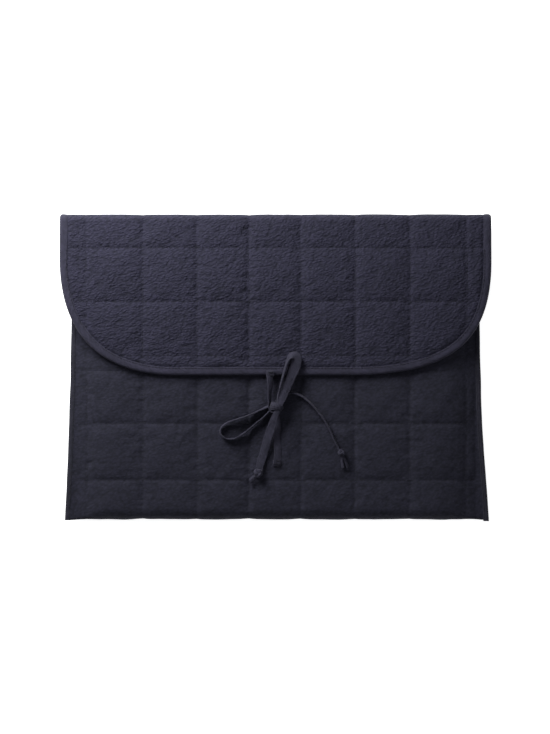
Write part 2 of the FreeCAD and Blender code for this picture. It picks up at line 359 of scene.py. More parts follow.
def shell(name, outer, inner, every, panel, material):
    """Make closed cloth between a fine outer grid and a coarser inner one."""
    rows, columns = outer.shape[:2]
    inner = inner[::every, ::every]
    coarse_rows, coarse_columns = inner.shape[:2]
    start = rows * columns
    index = np.arange(start).reshape(rows, columns)
    coarse = start + np.arange(coarse_rows * coarse_columns).reshape(coarse_rows, coarse_columns)
    faces = np.stack([index[:-1, :-1], index[1:, :-1], index[1:, 1:], index[:-1, 1:]], 2)
    back = np.stack([coarse[:-1, :-1], coarse[:-1, 1:], coarse[1:, 1:], coarse[1:, :-1]], 2)
    faces = faces.reshape(-1, 4).tolist() + back.reshape(-1, 4).tolist()
    edge = [index[place] for place in border(rows, columns)]
    lining = [coarse[place] for place in border(coarse_rows, coarse_columns)]
    for step in range(len(lining)):
        here, there = lining[step], lining[(step + 1) % len(lining)]
        run = [edge[(step * every + k) % len(edge)] for k in range(every + 1)]
        half = every // 2
        faces += [[run[k], run[k + 1], here] for k in range(half)]
        faces.append([run[half], there, here])
        faces += [[run[k], run[k + 1], there] for k in range(half, every)]
    points = np.concatenate([outer.reshape(-1, 3), inner.reshape(-1, 3)])
    flat = np.concatenate([panel.reshape(-1, 3), panel[::every, ::every].reshape(-1, 3)])
    return new_object(name, points, faces, material, flat, 60)


def tubes(name, rings, material, panel=None, sharp=55):
    """Make closed tubes from rings of points, shaped (tubes, rings, around, 3)."""
    count, length, around = rings.shape[:3]
    index = np.arange(count * length * around).reshape(count, length, around)
    after = np.roll(index, -1, 2)
    faces = np.stack([index[:, :-1], after[:, :-1], after[:, 1:], index[:, 1:]], 3)
    faces = faces.reshape(-1, 4).tolist()
    faces += index[:, 0, ::-1].tolist() + index[:, -1].tolist()
    flat = None if panel is None else panel.reshape(-1, 3)
    return new_object(name, rings.reshape(-1, 3), faces, material, flat, sharp)


def distances(points):
    """Return each point's distance along a polyline."""
    return np.concatenate([[0], np.cumsum(np.linalg.norm(np.diff(points, axis=0), axis=1))])


def points_at(places, along, points):
    """Return a polyline's points at places along it."""
    return np.stack([np.interp(places, along, column) for column in points.T], 1)


def resample(points, step):
    """Return a polyline's points again at an even step, with their distance along it."""
    points = np.asarray(points, float)
    along = distances(points)
    places = np.linspace(0, along[-1], max(2, int(round(along[-1] / step)) + 1))
    return points_at(places, along, points), places


def dress(piece, body, node):
    """Let a piece stand for a CAD node and move with its body, or stay fixed where it is for a bend
    between two bodies.
    """
    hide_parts(node)
    if isinstance(body, dict):
        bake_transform(piece)
    else:
        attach(piece, body)
    return piece


# ---- ties -------------------------------------------------------------------------------

POUCH_TIE_ROUTE = [
    (1.0, -79.2, 21.0), (2.2, -70.0, 21.0), (0.8, -59.0, 21.0), (1.9, -49.5, 21.0),
    (1.7, -42.5, 21.0), (0.4, -37.3, 21.0), (-2.6, -35.2, 21.2), (-6.0, -37.4, 21.6),
    (-11.0, -42.4, 22.2), (-18.0, -47.6, 22.5), (-25.5, -53.8, 22.6), (-32.0, -58.2, 22.6),
    (-39.4, -59.0, 22.6), (-44.8, -55.6, 22.6), (-45.0, -49.6, 22.6), (-39.6, -45.0, 22.6),
    (-31.5, -42.6, 22.6), (-21.0, -39.2, 22.4), (-11.5, -34.4, 22.0), (-5.0, -31.6, 21.7),
    (0.8, -28.2, 21.6), (6.0, -23.2, 21.6), (13.4, -20.0, 22.0), (22.6, -23.8, 22.5),
    (30.8, -31.6, 22.6), (38.0, -40.0, 22.6), (43.8, -49.4, 22.6), (47.6, -58.4, 22.6),
    (51.9, -67.2, 22.8),
]
FLAP_TIE_ROUTE = [
    (-4.3, -4.0, 26.1), (-4.9, -9.5, 26.4), (-4.0, -15.5, 26.3), (-4.9, -21.3, 26.0),
    (-4.9, -27.0, 25.6), (-4.6, -32.2, 25.3), (-2.6, -35.9, 25.2), (0.6, -35.9, 25.2),
    (1.9, -32.2, 25.4), (1.6, -26.4, 26.3), (2.8, -19.6, 27.2), (4.8, -12.0, 27.8),
    (7.3, -2.8, 28.1), (9.4, 4.6, 28.1), (12.2, 9.8, 28.0), (16.8, 9.2, 27.9), (17.0, 2.8, 27.9),
    (14.0, -4.2, 27.8), (11.2, -11.2, 27.6), (8.4, -18.4, 27.5), (5.9, -25.2, 27.8),
    (3.4, -31.6, 28.5), (0.7, -37.4, 28.4), (-1.8, -44.0, 27.2), (-4.0, -51.5, 25.6),
    (-7.0, -60.0, 23.8), (-9.2, -69.0, 22.2), (-12.2, -77.5, 21.6), (-13.3, -83.6, 21.8),
]
POUCH_TIE_KNOT = (53.6, -69.6, 23.0)
FLAP_TIE_KNOT = (-14.2, -86.4, 23.0)
TAPE_THICK = 1.35          # two folded layers, stitched together
# Turn and width of each tape by control point: 0 lies flat, 90 stands on its edge.
POUCH_TIE_TURN = [(0, -6), (1, -18), (3, -20), (5, 24), (7, 70), (9, 84), (13, 90), (17, 86),
                  (19, 70), (21, 60), (23, 82), (28, 78)]
POUCH_TIE_WIDTH = [(0, 6.4), (2, 5.8), (3, 5.0), (5, 3.8), (7, 3.6), (9, 4.6), (13, 4.8),
                   (17, 4.6), (19, 3.6), (21, 3.6), (23, 4.6), (26, 4.6), (28, 3.4)]
FLAP_TIE_TURN = [(0, 6), (2, 44), (4, 58), (6, 20), (8, 62), (10, 84), (13, 80), (14, 50),
                 (15, 16), (16, 0), (20, 6), (22, 0), (25, -8), (28, 0)]
FLAP_TIE_WIDTH = [(0, 5.4), (2, 5.2), (4, 4.4), (6, 3.8), (8, 4.0), (11, 5.0), (14, 7.4),
                  (15, 8.6), (16, 8.8), (17, 8.2), (19, 7.0), (21, 4.2), (22, 4.8), (24, 7.0),
                  (26, 7.0), (27, 6.6), (28, 5.0)]


def tape_line(route):
    """Return a tie's middle line in millimetres, with its place among the control points."""
    data = bpy.data.curves.new("tape_line", "CURVE")
    data.dimensions = "3D"
    data.resolution_u = 24
    spline = data.splines.new("NURBS")
    spline.points.add(len(route) - 1)
    for point, place in zip(spline.points, route):
        point.co = (*(c * MM for c in place), 1)
    spline.order_u = 3
    spline.use_endpoint_u = True
    spline.resolution_u = 24
    line = bpy.data.objects.new("tape_line", data)
    bpy.context.scene.collection.objects.link(line)
    bpy.context.view_layer.update()
    mesh = bpy.data.meshes.new_from_object(line)
    points = np.array([v.co for v in mesh.vertices]) / MM
    bpy.data.objects.remove(line)
    place = np.linspace(0, len(route) - 2, len(points)) + 0.5
    even, along = resample(np.column_stack([points, place]), 0.5)
    return even[:, :3], even[:, 3], along


def tape_frame(points):
    """Return the level and upright directions across a line."""
    heading = unit(np.gradient(points, axis=0))
    upright = unit(UP - heading * heading[:, 2:])
    return np.cross(heading, upright), upright


def soft_steps(place, keys):
    """Return values between keys, eased from one to the next."""
    value = np.interp(place, [k for k, _ in keys], [v for _, v in keys])
    kernel = np.hanning(15)
    padded = np.pad(value, 7, mode="edge")
    return np.convolve(padded, kernel / kernel.sum(), "valid")


def tape_rings(points, along, turn, width, thick, seed, around=28):
    """Return the rings of a flat, slightly creased tape that follows a line."""
    level, upright = tape_frame(points)
    turn = np.radians(turn)[:, None]
    wide = level * np.cos(turn) + upright * np.sin(turn)
    face = upright * np.cos(turn) - level * np.sin(turn)
    angle = np.linspace(0, 2 * math.pi, around, endpoint=False)
    across = squared_off(np.cos(angle), 0.55)
    height = squared_off(np.sin(angle), 0.6)
    half = (width / 2 * (1 + 0.05 * noise(along / 7, 0, seed)))[:, None]
    place = half * across
    cup = 0.35 * (across ** 2 - 0.5) * (half / 3) * noise(along / 16, 3, seed + 1)[:, None]
    ripple = 0.22 * noise(along[:, None] / 5, place / 3 + 9, seed + 2)
    ripple = ripple + 0.12 * noise(along[:, None] / 2.2, place / 1.6 + 9, seed + 3)
    # the folded edge is stitched down, which leaves a shallow groove beside it
    groove = 0.16 * np.exp(-((np.abs(across) - 0.66) / 0.09) ** 2)
    lift = height * (thick / 2 - groove) + cup + ripple
    rings = points[:, None] + wide[:, None] * place[:, :, None] + face[:, None] * lift[:, :, None]
    panel = np.stack([np.broadcast_to(along[:, None], place.shape), place + 20 * seed, lift], 2)
    return rings, panel


def make_tie(name, route, turn, width, body, seed):
    """Make one tie's tape and return it with its middle line in metres."""
    points, place, along = tape_line(route)
    turn, width = soft_steps(place, turn), soft_steps(place, width)
    rings, panel = tape_rings(points, along, turn, width, TAPE_THICK, seed)
    tie = dress(tubes(name + "_tape", rings[None], TAPE, panel[None], 75), body, name)
    return tie, points * MM, along[-1] * MM


def knot_rings(centre, size, tube, turn, seed):
    """Return the rings of a small tight overhand knot."""
    t = np.linspace(0, 2 * math.pi, 91)
    x = (np.sin(t) + 2 * np.sin(2 * t)) / 3
    y = (np.cos(t) - 2 * np.cos(2 * t)) / 3
    z = -np.sin(3 * t) * 0.55
    c, s = math.cos(math.radians(turn)), math.sin(math.radians(turn))
    points = np.stack([x * c - y * s, x * s + y * c, z], 1) * np.array(size) + np.array(centre)
    along = t * 3.2
    width = tube * (1 + 0.12 * noise(along / 1.7, 0, seed))
    return tape_rings(points, along, 40 + 35 * np.sin(t * 2), width, 0.62 * tube, seed, 16)


def make_end_knot(name, knot, heading, body, seed, splay, reach, tightness):
    """Make a tie's end knot and the short frayed tail past it, as two pieces."""
    centre = np.array(knot)
    size = (1.5 * tightness, 1.5 * tightness, 1.8)
    turn = math.degrees(math.atan2(*heading[::-1]))
    rings, panel = knot_rings(centre, size, 3.9 * tightness, turn, seed)
    ball = tubes(name + "_twist", rings[None], TAPE, panel[None], 75)
    heading = np.array([*heading, 0.0]) / math.hypot(*heading)
    side = np.array([-heading[1], heading[0], 0])
    tails, flats = [], []
    for sign in (-1, 1):
        steps = np.linspace(0, 1, 22)[:, None]
        start = centre + heading * 1.4
        end = centre + heading * (reach if sign > 0 else reach - 0.7) + side * sign * splay
        line = start + (end - start) * steps
        line = line + side * sign * 0.5 * np.sin(steps * math.pi) - 1.7 * UP * steps
        along = np.linspace(0, reach, 22) + 30 * sign
        ring, panel = tape_rings(line, along, np.full(22, 35.0 * sign),
                                 np.linspace(2.0, 2.5, 22), 0.8, seed + sign, 16)
        tails.append(ring)
        flats.append(panel)
    tail = tubes(name + "_tail", np.array(tails), TAPE, np.array(flats), 75)
    rng = np.random.default_rng(seed)
    strands = []
    for ring in tails:
        root = ring[-1].mean(0)
        for _ in range(16):
            begin = root + side * rng.uniform(-1.1, 1.1) - heading * 0.5
            begin = begin + UP * rng.uniform(-0.25, 0.25)
            strand = heading * rng.uniform(1.0, 2.6) + side * rng.uniform(-0.7, 0.7)
            steps = np.linspace(0, 1, 6)[:, None]
            line = begin + strand * steps + UP * rng.uniform(-0.6, 0.1) * steps ** 2
            level, upright = tape_frame(line)
            angle = np.linspace(0, 2 * math.pi, 5, endpoint=False)[:, None]
            circle = level[:, None] * np.cos(angle) + upright[:, None] * np.sin(angle)
            strands.append(line[:, None] + 0.09 * circle)
    fray = tubes(name + "_fray", np.array(strands), TAPE)
    return [dress(piece, body, name) for piece in (ball, tail, fray)]


def make_wrap():
    """Make the tape over the middle of the bow, open below, where the other tie lies."""
    turn = math.radians(76)
    axis = np.array([math.cos(turn), math.sin(turn), 0])
    side = np.array([-axis[1], axis[0], 0])
    centre = np.array([0.9, -32.3, 25.6])
    u = np.linspace(-1, 1, 64)[:, None]
    t = np.linspace(-18, 198, 72)[None]
    c, s = np.cos(np.radians(t)), np.sin(np.radians(t))
    ridges = 0.34 * np.abs(noise(u * 3.1 + t / 260, t / 95, 41)) + 0.1 * noise(u * 6, t / 30, 42)
    bulge = 1 - 0.20 * u ** 2 + 0.05 * u
    surfaces = []
    for depth in (0.0, 0.9):
        reach = 5.5 * bulge + ridges - depth
        rise = 5.2 * bulge + ridges - depth
        surfaces.append(
            centre + axis * (3.0 * u + 0.5 * c * u)[..., None] + side * (reach * c)[..., None]
            + UP * (rise * s)[..., None]
        )
    rings = np.concatenate([surfaces[0], surfaces[1][:, ::-1]], 1)
    flat = np.stack([4.1 * u + 0 * t, 0 * u + t / 14, 0 * u + 0 * t], 2)
    panel = np.concatenate([flat, flat[:, ::-1]], 1)
    wrap = tubes("bow_wrap", rings[None], TAPE, panel[None], 70)
    return dress(wrap, "flap", "bow_knot")


TAB_LENGTH = 3.6


def make_tab(name, route, surface_z, heading, body, seed):
    """Make a tie's end, folded under itself and sewn down with a bar of stitches."""
    x, y, high = route[0]
    low = surface_z + 0.75
    back = np.linspace(0, 1, 16)
    bend = np.radians(np.linspace(90, -90, 12))[1:-1]
    run = y + heading * (TAB_LENGTH - 4.0 * back)
    upper = np.stack([run, high + (low + 1.2 - high) * back], 1)
    loop = np.stack([y - heading * (0.4 + 0.6 * np.cos(bend)), low + 0.6 + 0.6 * np.sin(bend)], 1)
    under = np.stack([run[::-1], np.full(16, low)], 1)
    line = np.concatenate([upper, loop, under])
    line, along = resample(np.column_stack([np.full(len(line), x), line]), 0.35)
    face = np.cross(unit(np.gradient(line, axis=0)), [1.0, 0, 0])
    angle = np.linspace(0, 2 * math.pi, 24, endpoint=False)
    across = squared_off(np.cos(angle), 0.5) * 3.2
    rise = squared_off(np.sin(angle), 0.6) * 0.5
    rise = rise + 0.12 * noise(along[:, None] / 2, across / 1.5, seed)
    rings = line[:, None] + across[:, None] * np.array([1.0, 0, 0])
    rings = rings + face[:, None] * rise[..., None]
    panel = np.stack([np.broadcast_to(along[:, None], rise.shape), across + 0 * rise, rise], 2)
    tab = tubes(name + "_fold", rings[None], TAPE, panel[None], 75)
    starts, ends = [], []
    for row in (0.3, 0.9, 2.6, 3.2):
        for column in np.arange(-2.5, 2.4, 0.75):
            top = high + (low + 1.2 - high) * (1 - row / TAB_LENGTH) + 0.75
            starts.append((x + column, y + heading * row, top))
            ends.append((x + column + 0.6, y + heading * (row - 0.25), top))
    bars = stitches(name + "_stitches", np.array(starts), np.array(ends), UP, 0.2)
    dress(tab, body, name)
    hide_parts(name)
    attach(bars, body)


def stitches(name, starts, ends, up, radius):
    """Make one short thread from each start to its end, sinking in at both."""
    up = np.broadcast_to(up, starts.shape)
    run = ends - starts
    level = unit(np.cross(run, up))
    shares = np.array([0.0, 0.12, 0.5, 0.88, 1.0])
    sizes = np.array([0.45, 0.9, 1.0, 0.9, 0.45]) * radius
    lifts = np.array([-0.9, 0.1, 0.45, 0.1, -0.9]) * radius
    angle = np.linspace(0, 2 * math.pi, 6, endpoint=False)[:, None]
    centres = starts[:, None] + run[:, None] * shares[:, None] + up[:, None] * lifts[:, None]
    circle = level[:, None, None] * np.cos(angle) + up[:, None, None] * np.sin(angle)
    return tubes(name, centres[:, :, None] + circle * sizes[None, :, None, None], THREAD)


pouch_tie, pouch_line, pouch_tie_length = make_tie(
    "pouch_tie", POUCH_TIE_ROUTE, POUCH_TIE_TURN, POUCH_TIE_WIDTH, "pouch", 3)
flap_tie, flap_line, flap_tie_length = make_tie(
    "flap_tie", FLAP_TIE_ROUTE, FLAP_TIE_TURN, FLAP_TIE_WIDTH, "flap", 4)
pouch_ends = make_end_knot(
    "pouch_tie_end_knot", POUCH_TIE_KNOT, (0.26, -0.96), "pouch", 11, 1.9, 13.0, 0.95)
flap_ends = make_end_knot(
    "flap_tie_end_knot", FLAP_TIE_KNOT, (-0.66, -0.74), "flap", 12, 1.2, 9.6, 1.2)
bow_wrap = make_wrap()
make_tab("pouch_tie_tab", POUCH_TIE_ROUTE, 19.4, 1, "pouch", 21)
make_tab("flap_tie_tab", FLAP_TIE_ROUTE, 24.5, -1, "flap", 22)


# ---- the quilted panel -------------------------------------------------------------------

COLUMNS = [(-154.4, 0.85), (-108.0, 1.2), (-64.0, 1.25), (-21.6, 1.75), (20.8, 1.2),
           (64.8, 1.2), (109.6, 1.15), (155.7, 0.8)]
FLAP_ROWS = [(97.4, 0.85), (53.5, 0.85), (9.5, 0.35)]
POUCH_ROWS = [(84.8, 0.85), (40.8, 0.85), (-3.2, 0.8), (-46.0, 0.85), (-92.0, 0.85),
              (-182.57, 0.85), (-226.57, 0.85), (-270.57, 0.85), (-314.57, 0.85), (-358.47, 0.85)]
OUTER = 0.6                # thickness of the outer cotton
FELT_DEPTH = 2.9           # depth at which the flap's and folds' wadding ends
LINER_DEPTH = 3.0          # depth at which the lining starts
PANEL = 3.5                # thickness of cotton, wadding and lining together
FOLD_ROW = 97.4            # the sewn row from which the flap and the back start to fold over
MOUTH_ROW, FRONT_ROW, BOTTOM_ROW, BACK_ROW = 111.9, -3.2, -182.57, -358.47
FLAP_HALF = 176            # half the flap's width, over its binding
MIDDLE_Z = 9.7             # height of the pouch's side seams


def wander(place, along):
    """Return where a sewn line runs, which is never quite straight."""
    drift = 0.45 * noise(along / 55, place / 10, 61) + 0.15 * noise(along / 14, place / 10, 62)
    return place + drift


CLOTH_FRAMES = 20


def simulate_swelling(rows, top, bottom, half=FLAP_HALF, gap=4.0):
    """Return quilted cloth's swelling from a cloth simulation, as x, y and heights."""
    def places(lines, low, high):
        stops = [low, *sorted(line for line in lines if low < line < high), high]
        runs = [np.linspace(a, b, max(2, round((b - a) / gap)) + 1)[:-1]
                for a, b in zip(stops, stops[1:])]
        return np.concatenate([*runs, [high]])

    xs, ys = places([x for x, _ in COLUMNS], -half, half), places([y for y, _ in rows], bottom, top)
    x, y = np.meshgrid(xs, ys)
    z = np.random.default_rng(7).uniform(-0.02, 0.02, x.shape)
    index = np.arange(x.size).reshape(x.shape)
    faces = np.stack([index[:-1, :-1], index[:-1, 1:], index[1:, 1:], index[1:, :-1]], 2)
    mesh = bpy.data.meshes.new("swelling")
    points = np.stack([x, y, z], 2).reshape(-1, 3) * MM
    mesh.from_pydata(points.tolist(), [], faces.reshape(-1, 4).tolist())
    cloth = bpy.data.objects.new("swelling", mesh)
    bpy.context.scene.collection.objects.link(cloth)
    sewn = np.isin(x, [line for line, _ in COLUMNS]) | np.isin(y, [line for line, _ in rows])
    sewn |= np.isin(x, [-half, half]) | np.isin(y, [bottom, top])
    cloth.vertex_groups.new(name="sewn").add(np.flatnonzero(sewn.ravel()).tolist(), 1.0, "REPLACE")
    modifier = cloth.modifiers.new("cloth", "CLOTH")
    modifier.point_cache.frame_start, modifier.point_cache.frame_end = 1, CLOTH_FRAMES
    for name, value in (
        ("quality", 5), ("mass", 0.1), ("tension_stiffness", 15), ("compression_stiffness", 15),
        ("shear_stiffness", 5), ("bending_stiffness", 0.5), ("vertex_group_mass", "sewn"),
        ("use_pressure", True), ("uniform_pressure_force", 4), ("shrink_min", -0.03),
        ("shrink_max", -0.03),
    ):
        setattr(modifier.settings, name, value)
    modifier.settings.effector_weights.gravity = 0
    for moment in range(1, CLOTH_FRAMES + 1):
        bpy.context.scene.frame_set(moment)
    swollen = cloth.evaluated_get(bpy.context.evaluated_depsgraph_get()).to_mesh()
    heights = np.array([vertex.co.z for vertex in swollen.vertices]).reshape(x.shape) / MM
    bpy.data.objects.remove(cloth)
    bpy.data.meshes.remove(mesh)
    bpy.context.scene.frame_set(1)
    return xs, ys, np.clip(heights, -1.0, 4.5)


def swelling(x, v, sheet):
    """Return the simulated swelling at places on the panel, between its grid's points."""
    xs, ys, heights = sheet
    x, v = np.broadcast_arrays(np.clip(x, xs[0], xs[-1]), np.clip(v, ys[0], ys[-1]))
    column = np.clip(np.searchsorted(xs, x, "right") - 1, 0, len(xs) - 2)
    row = np.clip(np.searchsorted(ys, v, "right") - 1, 0, len(ys) - 2)
    across = ease((x - xs[column]) / (xs[column + 1] - xs[column]))
    up = ease((v - ys[row]) / (ys[row + 1] - ys[row]))
    low = heights[row, column] * (1 - across) + heights[row, column + 1] * across
    high = heights[row + 1, column] * (1 - across) + heights[row + 1, column + 1] * across
    return low * (1 - up) + high * up


FLAP_SHEET = simulate_swelling(FLAP_ROWS, 141.4, -8.0)
POUCH_SHEET = simulate_swelling(POUCH_ROWS, 128.8, -402.5)


def quilt(x, v, rows, seed, crest=0.9, crinkled=1.0):
    """Return the height of the quilted cloth over its flat place, in millimetres."""
    groove_x, wide_x = np.zeros(np.shape(x)), np.zeros(np.shape(x))
    groove_y, wide_y = np.zeros(np.shape(x)), np.zeros(np.shape(x))
    for place, strength in COLUMNS:
        away = x - wander(place, v)
        away = np.where(away < 0, -away / 1.6, away / 0.85)  # steeper on the right
        dip = 0.88 * np.exp(-(away / 4.3) ** 1.15) + 0.12 * np.exp(-(away / 1.1) ** 2)
        groove_x = np.maximum(groove_x, strength * dip)
        wide_x = np.maximum(wide_x, strength * np.exp(-(away / 9) ** 1.5))
    for place, strength in rows:
        away = np.abs(v - wander(place, x))
        dip = 0.85 * np.exp(-away / 4.3) + 0.15 * np.exp(-(away / 1.1) ** 2)
        groove_y = np.maximum(groove_y, strength * dip)
        wide_y = np.maximum(wide_y, strength * np.exp(-(away / 9) ** 1.5))
    groove = groove_x + groove_y - groove_x * groove_y * 0.8
    pucker = 0.32 * wide_x * noise(x / 15, v / 4.2, seed)
    pucker = pucker + 0.32 * wide_y * noise(x / 4.2, v / 15, seed + 1)
    lumps = 0.34 * noise(x / 30, v / 26, seed + 2) + 0.22 * noise(x / 12, v / 10, seed + 3)
    slant = 0.30 * noise((x * 0.64 + v * 0.77) / 24, (v * 0.64 - x * 0.77) / 7, seed + 7)
    lumps = lumps + slant * (0.5 + wide_x)
    puff = swelling(x, v, FLAP_SHEET if rows is FLAP_ROWS else POUCH_SHEET) / 4
    height = crest * (0.5 + 0.9 * puff) - (0.5 * crest + 0.95) * groove + pucker
    height = height + lumps * (1 - 0.7 * np.clip(groove, 0, 1))
    return np.maximum(height + crinkled * 0.15 * creases(x, v, seed + 4), -1.9)


def rise_inside(away, width=7.5):
    """Return the share of its height that cloth has reached at a distance from its edge."""
    return ease((away - 4.5) / width)


def flat_place(x, v):
    """Return points' places on the flat panel."""
    return np.stack([x, v, 0 * x], 2)


def sewn_thin(x, v, rows):
    """Return how much thinner the wadding is pressed at the sewn lines."""
    away = np.min([np.abs(x - place) + 0 * v for place, _ in COLUMNS], axis=0)
    away = np.minimum(away, np.min([np.abs(v - place) + 0 * x for place, _ in rows], axis=0))
    return 1.9 * np.exp(-(away / 8) ** 2)


def seam_half(y, side=0):
    """Return the pouch's half width inside its binding; the right side flares low down."""
    flare = 2.2 * (np.asarray(side) > 0) * ease((-30 - y) / 95)
    return 172.0 + (y + 126) * (-0.03879) + (y + 126) * (y + 10) * 0.0001253 + flare


def pouch_half(x):
    """Return half the pouch's thickness across its width."""
    return 2.0 + 7.7 * (1 - np.clip((np.abs(x) - 128) / 35.5, 0, 1) ** 2)


def pouch_place(x, v):
    """Return the pouch's outer surface: v runs down the front, round and up the back."""
    x, v = np.broadcast_arrays(np.asarray(x, float), np.asarray(v, float))
    half = pouch_half(x)
    end = -125 + half
    squeeze = (25 - half) / 15.3
    straight = np.where(v >= -115.3, v, -261.07 - v)
    straight = np.where(straight < -100, -100 + (straight + 100) * squeeze, straight)
    turn = np.clip((v + 115.3) / -30.47, 0, 1) * math.pi
    y = np.where((turn > 0) & (turn < math.pi), end - half * np.sin(turn), straight)
    sag = 4.6 * np.clip((v - 45) / 67, 0, 1.1) ** 2 * (half - 2) / 7.7
    z = MIDDLE_Z + half * np.cos(turn) - sag
    low = ease((-100 - y) / 20)
    y = y + low * (0.35 * noise(x / 38, 1, 71) + 0.25 * noise(x / 13, 2, 72))
    return np.stack([x, y, z], -1)


def pouch_grid(top, bottom, step_x, step_v, every, inset):
    """Return a grid on the pouch between two panel rows, its panel places and fade."""
    rows = int(round((top - bottom) / step_v / every)) * every + 1
    columns = int(round(340 / step_x / every)) * every + 1
    v = np.linspace(top, bottom, rows)[:, None]
    share = np.linspace(-1, 1, columns)[None]
    flat_y = pouch_place(0 * v, v)[..., 1]
    x = share * (seam_half(flat_y, share) - inset)
    points = pouch_place(x, v + 0 * x)
    inboard = seam_half(flat_y, share) - np.abs(x)
    return points, flat_place(x, v + 0 * x), rise_inside(inboard, 7)


def thin_to_seam(x):
    """Return how much the layers are pressed together near the side seams."""
    return np.minimum(1, (pouch_half(x) - 0.05) / PANEL)


def under_flap(v):
    """Return how high the front's squares may rise, less where the flap lies on them."""
    return 0.75 - 0.5 * ease((v + 4) / 4) * (v > -60)


def pouch_height(x, v):
    """Return the pouch cloth's height over its flat place; the back only goes inwards."""
    back = ease((-120 - v) / 20)
    bottom = 1 - 0.75 * np.exp(-((v + 131) / 15) ** 4)
    dimple = 0.9 * np.exp(-((x + 152.4) ** 2 + (v + 79) ** 2) / 7)
    height = quilt(x, v, POUCH_ROWS, 200, under_flap(v), 0.6)
    height = np.clip(height, -1.9 + 0.75 * back, 3 - 1.8 * back)
    return height * bottom - 1.25 * back - dimple


def inner_shell(name, under, above, every, panel, material):
    """Make closed cloth whose finer side is the one that faces inwards."""
    return shell(name, under[:, ::-1], above[:, ::-1], every, panel[:, ::-1], material)


def pouch_cloth(name, top, bottom, step_x, step_v, every=4):
    """Make one stretch of the pouch's outer cloth."""
    points, panel, fade = pouch_grid(top, bottom, step_x, step_v, every, 1.2)
    normal = -grid_normals(points)
    press = thin_to_seam(panel[..., 0])[..., None]
    height = pouch_height(panel[..., 0], panel[..., 1]) * fade
    if top == MOUTH_ROW:
        height = height * ease((top - 6.6 - panel[..., 1]) / 9)
    outer = points + normal * height[..., None]
    # The pouch's cotton is darkened with painted shade.
    cloth = shell(name, outer, outer - normal * OUTER * press, every, panel, CRINKLE_CALM_SHADED)
    dress(cloth, "pouch", "pouch_outer")


def pouch_layer(name, near, far, step, every, node, material, inset):
    """Make a layer inside the pouch between two depths, from the mouth to the top."""
    points, panel, fade = pouch_grid(MOUTH_ROW, BACK_ROW, step, step, every, inset)
    normal = -grid_normals(points)
    press = thin_to_seam(panel[..., 0])[..., None]
    height = (quilt(panel[..., 0], panel[..., 1], POUCH_ROWS, 500, 0.4, 0.3) * fade)[..., None]
    # quilting draws the lining outwards and the outer cloth inwards
    share = 2 * far / PANEL - 1 if far > LINER_DEPTH else 0.0
    inner = points - normal * far * press - normal * height * 0.6 * share
    depth = near + 0.25
    if near < 1:
        v = panel[..., 1]
        pressed = sewn_thin(panel[..., 0], v, POUCH_ROWS) + 0.5 * ease((-115 - v) / 20)
        pressed += 0.4 * np.exp(-((v + 138) / 18) ** 4)
        depth = np.minimum(depth + pressed, far - 0.25)[..., None]
    outer = points - normal * depth * press
    layer = inner_shell(name, inner, outer, every, panel, material)
    dress(layer, "pouch", node)


pouch_cloth("pouch_front_upper", MOUTH_ROW, FRONT_ROW, 1.3, 1.25)
pouch_cloth("pouch_front_lower", FRONT_ROW, BOTTOM_ROW, 0.92, 0.9)
pouch_cloth("pouch_back", BOTTOM_ROW, BACK_ROW, 1.35, 1.35)
pouch_layer("pouch_felt", OUTER, LINER_DEPTH, 5.0, 1, "pouch_wadding", WADDING, 1.6)
pouch_layer("pouch_liner", LINER_DEPTH, PANEL, 2.3, 2, "pouch_lining", LINING,
            1.4)


# ---- the flap -------------------------------------------------------------------------------

def bezier(corners, count=240):
    """Return points on a cubic curve."""
    t = np.linspace(0, 1, count)[:, None]
    a, b, c, d = (np.array(p, float) for p in corners)
    return a * (1 - t) ** 3 + 3 * b * t * (1 - t) ** 2 + 3 * c * t ** 2 * (1 - t) + d * t ** 3


def flap_edge(top):
    """Return the flap's outline from the left side's top to the right side's top."""
    left = bezier([(-176, 89.5), (-176, 31.5), (-147.5, -6.6), (-80.5, -6.6)])
    right = bezier([(61.5, -6.6), (147, -6.6), (176, 23.5), (176, 87)])
    line = np.concatenate([[(-176, top)], left, right, [(176, top)]])
    return resample(line, 0.5)[0]


def inward(line):
    """Return unit directions from an outline towards its inside."""
    heading = np.gradient(line, axis=0)
    return unit(np.stack([-heading[:, 1], heading[:, 0]], 1))


def flap_grid(top, inset, step, every):
    """Return a grid of plan points that fills the flap inside an inset outline."""
    edge = flap_edge(top)
    edge = edge + inward(edge) * inset
    slope = np.abs(inward(edge)[:, 0]) - np.abs(inward(edge)[:, 1])
    middle = len(edge) // 2
    first = int(np.argmin(np.abs(slope[:middle])))
    last = middle + int(np.argmin(np.abs(slope[middle:])))
    rows = int(round(104 / step / every)) * every
    columns = int(round(348 / step / every)) * every

    def even(line, count):
        along = distances(line)
        return points_at(np.linspace(0, along[-1], count + 1), along, line)

    left = even(edge[: first + 1], rows)
    low = even(edge[first: last + 1], columns)
    right = even(edge[last:][::-1], rows)
    high = np.linspace(left[0, 0], right[0, 0], columns + 1)
    high = np.stack([high, np.full(columns + 1, top)], 1)
    v = np.linspace(0, 1, rows + 1)[:, None, None]
    u = np.linspace(0, 1, columns + 1)[None, :, None]
    sides = (1 - u) * left[:, None] + u * right[:, None]
    ends = (1 - v) * high[None] + v * low[None]
    corners = (1 - v) * ((1 - u) * left[0] + u * right[0])
    corners = corners + v * ((1 - u) * left[-1] + u * right[-1])
    return sides + ends - corners


def flap_droop(x, y):
    """Return how far the flap's sides and lower corners hang below its flat top."""
    side = np.clip((np.abs(x) - 130) / 46, 0, 1.1) ** 2 * 1.6
    low = 0.6 * np.clip((40 - y) / 46, 0, 1.1) ** 2
    return side * ease((122 - y) / 34) + 4.4 * np.clip((y - 52) / 66, 0, 1) ** 2.2 + low


